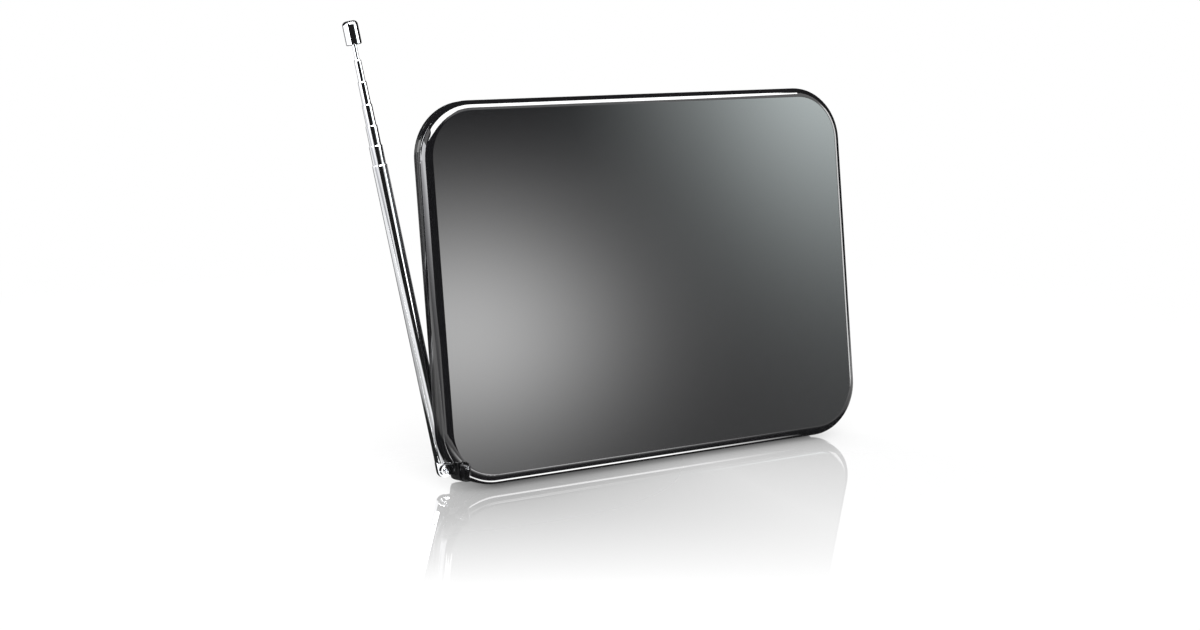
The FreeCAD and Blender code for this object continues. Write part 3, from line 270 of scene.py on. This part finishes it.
def makePlated(name):
    bright, dull, rough, turn, marks = platedSet[name]
    finish = newFinish(name)
    drawn = finish.noise(finish.place(turn, drawnStretch), marks, 2.0, 0.6)
    handled = finish.noise(finish.place(turn), 85.0, 4.0, 0.6)
    smudge = finish.ramp(handled, (0.46, 0.0), (0.74, 1.0))
    return finish.surface({
        "Base Color": finish.tint(smudge * 0.8 + drawn * 0.2, bright, dull),
        "Metallic": 1.0,
        "Roughness": rough + smudge * rough * 0.6 + drawn * rough * 0.5,
        "Normal": finish.bump(drawn, 0.03 * marks, 0.00002),
    })


# The plug: bright tongue, and painted shade (near-black, rougher metal) where the tube covers it, so the
# crimp holes read dark
plugSet = {
    "bright": (0.86, 0.87, 0.89), "dark": (0.012, 0.011, 0.011), "rough": 0.04,
    "pivot": 0.024432, "cover": 0.0048,  # along the rod: the rivet, and from there to the tube
    "turnedStretch": (60.0, 60.0, 4000.0),
}


def makePlug():
    finish = newFinish("plug_metal")
    along = finish.axes(finish.place(rodTurn))[2]
    edge = plugSet["cover"] * 50.0  # the ramp covers 20 mm
    # painted shade: near-black where the plug sits inside the tube
    paintedShade = finish.ramp((along - plugSet["pivot"]) * 50.0, (edge, 0.0), (edge + 0.02, 1.0))
    turned = finish.noise(finish.place(rodTurn, plugSet["turnedStretch"]), 1.0, 2.0, 0.6)
    return finish.surface({
        "Base Color": finish.tint(paintedShade, plugSet["bright"], plugSet["dark"]),
        "Metallic": 1.0,
        "Roughness": plugSet["rough"] + turned * 0.03 + paintedShade * 0.5,
        "Normal": finish.bump(turned, 0.03, 0.00002),
    })


# Circuit board laminate, with its glass weave and a speckle of resin
boardSet = {
    "dark": (0.020, 0.090, 0.035), "light": (0.045, 0.170, 0.065), "weave": 4200.0, "speckle": 300.0,
    "rough": 0.30, "bump": 0.15, "height": 0.00003,
}


def makeBoard():
    finish = newFinish("board_laminate")
    spot = finish.place(caseTurn)
    across, upward, depth = finish.axes(spot)
    warp = (across * boardSet["weave"]).apply("SINE")
    weft = (upward * boardSet["weave"]).apply("SINE")
    weave = warp * weft * 0.5 + 0.5
    speckle = finish.noise(spot, boardSet["speckle"], 4.0, 0.6)
    return finish.surface({
        "Base Color": finish.tint(weave * 0.4 + speckle * 0.6, boardSet["dark"], boardSet["light"]),
        "Roughness": boardSet["rough"] + speckle * 0.15,
        "Normal": finish.bump(weave, boardSet["bump"], boardSet["height"]),
    })


# White insulator in the socket
insulatorSet = {
    "dark": (0.72, 0.71, 0.68), "light": (0.84, 0.83, 0.80), "mottle": 420.0,
    "rough": 0.38, "bump": 0.1, "height": 0.00003,
}


def makeInsulator():
    finish = newFinish("white_insulator")
    mottle = finish.noise(finish.place(caseTurn), insulatorSet["mottle"], 3.0)
    return finish.surface({
        "Base Color": finish.tint(mottle, insulatorSet["dark"], insulatorSet["light"]),
        "Roughness": insulatorSet["rough"] + mottle * 0.15,
        "Normal": finish.bump(mottle, insulatorSet["bump"], insulatorSet["height"]),
    })


dress(makeCaseGloss(), "front_cover")
dress(makeCaseRear(), "rear_cover")
dress(makeSatin(), "swivel_bush", "stand_leg")
dress(makeRubber(), "foot_strip", "stand_pad")
tubes = ["outer_tube", "tube_2", "tube_3", "tube_4", "tube_5", "tube_6", "tip_rod", "tip_cap"]
dress(makePlated("rod_chrome"), *tubes, "swivel_clevis", "hinge_rivet")
dress(makePlug(), "mast_plug")
dress(makePlated("steel_turned"), "stand_pin", "friction_washer", "shaft_clip", "board_screws")
dress(makePlated("steel_black"), "case_screws")
dress(makePlated("tin_plate"), "feed_pins", "shield_can")
socketNickel = makePlated("socket_nickel")
dress(socketNickel, "socket_body", "socket_washer", "socket_nut")
dress(makePlated("spring_bronze"), "contact_leaf", "socket_contact")
dress(makePlated("loop_copper"), "loop_element")
dress(makeBoard(), "antenna_board", "amp_board")
dress(makeInsulator(), "socket_insulator")
print("finishes:", len(bpy.data.materials))

# Aerial socket with its thread cut: its place on the front face, then radius and depth in millimetres
socketSet = {
    "at": (-0.074, -0.0076757, 0.0360773),
    "section": [
        (1.2, 10.7), (6.2, 10.7), (6.2, 22.2), (4.4, 22.2), (4.4, 34.75), (4.15, 35.0), (3.4, 35.0),
        (3.4, 25.5), (1.2, 25.5),
    ],
    "sides": 72, "pitch": 0.794, "turns": 8, "ridge": 0.36, "root": 4.4, "start": 27.75,
    "sharpEdge": 35,
}


def tidyMesh():  # from edit mode: seam joined, ends closed, faces turned outward
    bpy.ops.mesh.select_all(action="SELECT")
    bpy.ops.mesh.remove_doubles(threshold=0.000001)
    bpy.ops.mesh.fill_holes(sides=0)
    bpy.ops.mesh.select_all(action="SELECT")
    bpy.ops.mesh.normals_make_consistent(inside=False)
    bpy.ops.object.mode_set(mode="OBJECT")


def turnSocket():
    bpy.ops.object.select_all(action="DESELECT")
    section = socketSet["section"]
    radius, depth = section[0]
    bpy.ops.mesh.primitive_circle_add(
        vertices=socketSet["sides"], radius=radius / 1000, location=(0, 0, depth / 1000))
    socket = bpy.context.object
    socket.name = "threaded_socket"
    bpy.ops.object.transform_apply(location=True)
    bpy.ops.object.mode_set(mode="EDIT")
    bpy.ops.mesh.select_all(action="SELECT")
    for nextRadius, nextDepth in section[1:] + section[:1]:
        step = (0, 0, (nextDepth - depth) / 1000)
        bpy.ops.mesh.extrude_region_move(TRANSFORM_OT_translate={"value": step})
        bpy.ops.transform.resize(value=(nextRadius / radius, nextRadius / radius, 1))
        radius, depth = nextRadius, nextDepth
    tidyMesh()
    return socket


def windThread():
    bpy.ops.object.select_all(action="DESELECT")
    place = (socketSet["root"] / 1000, 0, socketSet["start"] / 1000)
    bpy.ops.mesh.primitive_circle_add(
        vertices=4, radius=socketSet["ridge"] / 1000, location=place, rotation=(math.pi / 2, 0, 0))
    thread = bpy.context.object
    thread.name = "thread_ridge"
    bpy.ops.object.transform_apply(location=True, rotation=True)
    bpy.ops.object.modifier_add(type="SCREW")
    screw = thread.modifiers[-1]
    screw.screw_offset = socketSet["pitch"] / 1000
    screw.iterations = socketSet["turns"]
    screw.steps = socketSet["sides"]
    screw.render_steps = socketSet["sides"]
    bpy.ops.object.modifier_apply(modifier=screw.name)
    bpy.ops.object.mode_set(mode="EDIT")
    tidyMesh()
    return thread


def makeSocket():
    socket = turnSocket()
    thread = windThread()
    bpy.ops.object.select_all(action="DESELECT")
    thread.select_set(True)
    socket.select_set(True)
    bpy.context.view_layer.objects.active = socket
    bpy.ops.object.join()
    socket.location = socketSet["at"]
    socket.rotation_euler = (-math.pi / 2 - leanAngle, 0, 0)
    bpy.ops.object.transform_apply(location=True, rotation=True)
    bpy.ops.object.shade_smooth_by_angle(angle=math.radians(socketSet["sharpEdge"]))
    socket.data.materials.append(socketNickel)
    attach(socket, "case")
    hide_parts("socket_body")
    print("socket:", len(socket.data.polygons), "faces")


makeSocket()

# Camera, set where the photograph was taken from
cameraSet = {
    "at": (-0.47755, -0.744567, 0.273195), "turn": (77.16406, -1.47786, -30.51761),
    "lens": 55.3314, "sensor": 36.0, "nearest": 0.01,
}
cameraTurn = [math.radians(angle) for angle in cameraSet["turn"]]
bpy.ops.object.camera_add(location=cameraSet["at"], rotation=cameraTurn)
camera = bpy.context.object
camera.name = "camera"
camera.data.sensor_width = cameraSet["sensor"]
camera.data.lens = cameraSet["lens"]
camera.data.clip_start = cameraSet["nearest"]
scene.camera = camera

# White surround: 1 to the camera and in gloss, softer as light on the object
worldSet = {"seen": 1.0, "fill": 0.55}


def seenShare(finish):  # 1 for camera, glossy and transmission rays
    total = finish.rays("Is Camera Ray") + finish.rays("Is Glossy Ray") + finish.rays("Is Transmission Ray")
    return total.apply("MINIMUM", 1.0)


def makeWorld():
    scene.world = bpy.data.worlds.new("studio")
    finish = Finish(scene.world)
    level = worldSet["fill"] + seenShare(finish) * (worldSet["seen"] - worldSet["fill"])
    glow = finish.node("ShaderNodeBackground", None, {"Color": white, "Strength": level})
    finish.node("ShaderNodeOutputWorld", None, {"Surface": glow})


makeWorld()


def outside(value, middle, half):  # how far a place is past a half width
    past = (value - middle).apply("ABSOLUTE") - half
    return past.apply("MAXIMUM", 0.0)


def farFrom(across, along, patch):  # how far a place is from a rectangle on the floor
    outX = outside(across, patch["middle"][0], patch["half"][0])
    outY = outside(along, patch["middle"][1], patch["half"][1])
    return (outX * outX + outY * outY) ** 0.5


def softPatch(first, second, patch):  # a glow that falls away from its middle
    strength, middleFirst, middleSecond, spreadFirst, spreadSecond = patch
    awayFirst = (first - middleFirst) / spreadFirst
    awaySecond = (second - middleSecond) / spreadSecond
    falling = (awayFirst * awayFirst + awaySecond * awaySecond) * -0.5
    return falling.apply("EXPONENT") * strength


# Polish of the floor: it dies away in front of the object, to the right, behind and on the left
polishSet = {
    "toward": (0.37, 0.861), "reach": 0.166, "growth": 2.63, "weaker": 21.3, "least": 2.2, "most": 0.5,
    "rearEnd": ((0.2, 1.0), (0.35, 0.0)),  # 40 to 70 mm behind the origin
    "leftEnd": ((0.0, 0.0), (0.2, 1.0)),  # 200 to 160 mm to its left
}


def polishShare(finish, across, along):
    inward = across * polishSet["toward"][0] + along * polishSet["toward"][1] + polishSet["reach"]
    growth = polishSet["growth"] - across * polishSet["weaker"]
    polish = inward * growth.apply("MAXIMUM", polishSet["least"])
    polish = polish.apply("MAXIMUM", 0.0).apply("MINIMUM", polishSet["most"])
    polish = polish * finish.ramp(along * 5.0, *polishSet["rearEnd"])
    return polish * finish.ramp(across * 5.0 + 1.0, *polishSet["leftEnd"])


# Painted reflection of the ground in the object's own gloss: painted shade near the foot and behind the
# case, a painted highlight line close in front and a painted bright patch ahead
groundSet = {
    "ring": ((0.0, 0.02), (0.07, 0.02), (0.13, 0.45), (0.4, 0.62), (0.7, 1.0)),
    "behind": 0.25, "behindStart": ((0.3, 0.0), (0.5, 1.0)),
    "side": ((0.35, 0.0), (0.65, 1.0)), "sideSlope": 0.55, "sideShift": 1.64,
    "line": ((0.50, 0.0), (0.56, 1.0), (0.73, 1.0), (0.79, 0.0)), "lineShift": 0.02,
    "lineEnd": ((0.5, 1.0), (0.93, 0.0)), "lineGlow": 8.0,
    "ahead": (6.0, -0.03, -0.082, 0.07, 0.02),
}


def paintedGroundGloss(finish, across, along, gap):
    ring = finish.ramp(gap * 2.0, *groundSet["ring"])
    behind = finish.ramp(along * 10.0, *groundSet["behindStart"])
    sideways = (across + along * groundSet["sideSlope"]) * 10.0 + groundSet["sideShift"]
    behind = behind * finish.ramp(sideways, *groundSet["side"])
    line = finish.ramp((along + groundSet["lineShift"]) * 100.0, *groundSet["line"])
    line = line * finish.ramp(across * 5.0 + 0.5, *groundSet["lineEnd"]) * groundSet["lineGlow"]
    ahead = softPatch(across, along, groundSet["ahead"])
    return ring * (1 - behind * (1 - groundSet["behind"])) + line + ahead


# Contact shade under the foot strip
touchSet = {"middle": (0.0, 0.0105), "half": (0.09, 0.0125), "fade": 0.0095, "most": 0.97}


def touchShade(across, along):
    falling = farFrom(across, along, touchSet) / -touchSet["fade"]
    return falling.apply("EXPONENT") * touchSet["most"]


# Floor: white, with the object's soft shadow around its footprint
floorSet = {
    "size": 16.0, "below": 0.0002, "colour": (0.95, 0.95, 0.95, 1),
    "middle": (-0.03, 0.02), "half": (0.13, 0.03), "shadow": 0.22, "shadowReach": 0.45,
}


def makeFloor():
    bpy.ops.mesh.primitive_plane_add(size=floorSet["size"], location=(0, 0, -floorSet["below"]))
    floor = bpy.context.object
    floor.name = "floor"
    finish = newFinish("floor_white")
    across, along, upward = finish.axes(finish.place())
    gap = farFrom(across, along, floorSet)
    seen = finish.rays("Is Camera Ray")
    mirrored = finish.rays("Is Glossy Ray")
    # camera rays see the painted contact shadow, glossy rays the painted ground reflection
    level = 1 - mirrored * (1 - paintedGroundGloss(finish, across, along, gap)) - seen * touchShade(across, along)
    bright = finish.node("ShaderNodeEmission", None, {"Color": level, "Strength": 1.0})
    dull = finish.node("ShaderNodeBsdfDiffuse", None, {"Color": floorSet["colour"]})
    near = (gap / floorSet["shadowReach"]).apply("MINIMUM", 1.0)
    lit = seenShare(finish) * (1 - seen * (1 - near) * floorSet["shadow"])
    mirror = finish.node("ShaderNodeBsdfGlossy", None, {"Color": white, "Roughness": 0.0})
    polish = polishShare(finish, across, along) * seen
    floor.data.materials.append(finish.close(finish.mixed(polish, finish.mixed(lit, dull, bright), mirror)))


makeFloor()

# Cards that the gloss and the chrome mirror. They are seen in reflections only.
cardSet = {
    "front": {"at": (1.05, -1.5, 0.42), "turn": (90, 0, 0), "size": (1.7, 0.84)},
    "left": {"at": (-0.75, 0.1, 0.25), "turn": (90, 0, 90), "size": (0.8, 0.5)},
    "top": {"at": (0.05, -0.65, 1.25), "turn": (180, 0, 0), "size": (2.0, 0.92), "glow": 13.0},
    "top_left": {"at": (-0.475, -1.25, 1.25), "turn": (180, 0, 0), "size": (1.65, 0.3), "glow": 13.0},
    "strip": {"at": (1.39, -0.79, 0.36), "turn": (90, 0, 58), "size": (0.42, 0.72), "glow": 5.5},
    "dark": {"at": (-0.41, -1.234, 0.55), "turn": (90, 0, -18.4), "size": (1.6, 1.1), "glow": 0.015},
    "dark_left": {"at": (-1.31, -0.84, 1.075), "turn": (90, 0, -45), "size": (0.4, 1.85), "glow": 0.015},
    "dark_right": {"at": (0.85, 0.085, 0.6), "turn": (90, 0, 90), "size": (0.83, 1.2), "glow": 0.015},
    "dark_back": {"at": (0.37, 0.16, 0.3375), "turn": (90, 0, 0), "size": (1.06, 0.365), "glow": 0.015},
    "dark_corner": {"at": (-0.38, 0.16, 0.36), "turn": (90, 0, 0), "size": (0.44, 0.32), "glow": 0.015},
    "dark_top": {"at": (0.25, 0.4065, 1.25), "turn": (180, 0, 0), "size": (2.6, 1.187), "glow": 0.015},
}


def addCard(name):
    spec = cardSet[name]
    turn = [math.radians(angle) for angle in spec["turn"]]
    bpy.ops.mesh.primitive_plane_add(size=1, location=spec["at"], rotation=turn)
    card = bpy.context.object
    card.name = "card_" + name
    card.scale = (*spec["size"], 1)
    card.visible_camera = False
    card.visible_diffuse = False
    card.visible_shadow = False
    finish = newFinish("card_" + name)
    card.data.materials.append(finish.owner)
    return finish


def shine(finish, colour, strength=1.0):  # clear in the floor's sharp mirror, which shows the object alone
    glow = finish.node("ShaderNodeEmission", None, {"Color": colour, "Strength": strength})
    clear = finish.node("ShaderNodeBsdfTransparent")
    finish.close(finish.mixed(finish.rays("Is Singular Ray"), glow, clear))


def worldAxes(finish):
    return finish.axes(finish.node("ShaderNodeNewGeometry", output="Position"))


# The front card has two soft glows, and is dimmer in its upper left
frontGlow = {
    "base": 0.34, "low": (4.4, 0.612, 0.2465, 0.161, 0.112), "high": (5.5, 1.343, 0.713, 0.191, 0.243),
    "cool": (0.90, 1, 1), "dimUp": ((0.44, 0.0), (0.57, 0.95)), "dimLeft": ((0.85, 1.0), (1.0, 0.0)),
}


def lightFront():
    finish = addCard("front")
    across, along, upward = worldAxes(finish)
    low = softPatch(across, upward, frontGlow["low"])
    high = softPatch(across, upward, frontGlow["high"])
    dim = finish.ramp(upward, *frontGlow["dimUp"]) * finish.ramp(across, *frontGlow["dimLeft"])
    whole = low + high + (1 - dim) * frontGlow["base"]
    shine(finish, finish.brighten(finish.tint(high / whole, (1, 1, 1), frontGlow["cool"]), whole))


# The left card is brighter towards the front and upwards
leftGlow = {
    "middle": 2.35, "height": 0.0875, "slope": 0.195, "rise": 0.062, "most": 6.0,
    "colour": (0.97, 0.97, 1, 1), "fade": ((0.2, 1.0), (0.65, 0.4), (1.0, 0.22)),
}


def lightLeft():
    finish = addCard("left")
    across, along, upward = worldAxes(finish)
    rising = (upward + along * leftGlow["slope"] - leftGlow["height"]) / leftGlow["rise"]
    glow = rising.apply("EXPONENT") * leftGlow["middle"]
    glow = glow * finish.ramp(along + 0.5, *leftGlow["fade"])
    shine(finish, finish.brighten(leftGlow["colour"], glow.apply("MINIMUM", leftGlow["most"])))


lightFront()
lightLeft()
for name, spec in cardSet.items():
    if "glow" in spec:
        shine(addCard(name), white, spec["glow"])

# Soft lamps: one above and in front, and a weaker one behind
lampSet = {
    "front_lamp": {"at": (-0.25, -0.75, 1.35), "size": 1.1, "watts": 17.0},
    "rear_lamp": {"at": (-0.5, 1.1, 0.9), "size": 0.9, "watts": 12.0},
}
lampAim = Vector((0, 0, 0.06))


def addLamp(name):
    spec = lampSet[name]
    bpy.ops.object.light_add(type="AREA", location=spec["at"])
    lamp = bpy.context.object
    lamp.name = name
    lamp.data.size = spec["size"]
    lamp.data.energy = spec["watts"]
    lamp.rotation_euler = (lampAim - Vector(spec["at"])).to_track_quat("-Z", "Y").to_euler()
    lamp.visible_glossy = False


for name in lampSet:
    addLamp(name)
print("stage: camera, floor, cards and lamps")
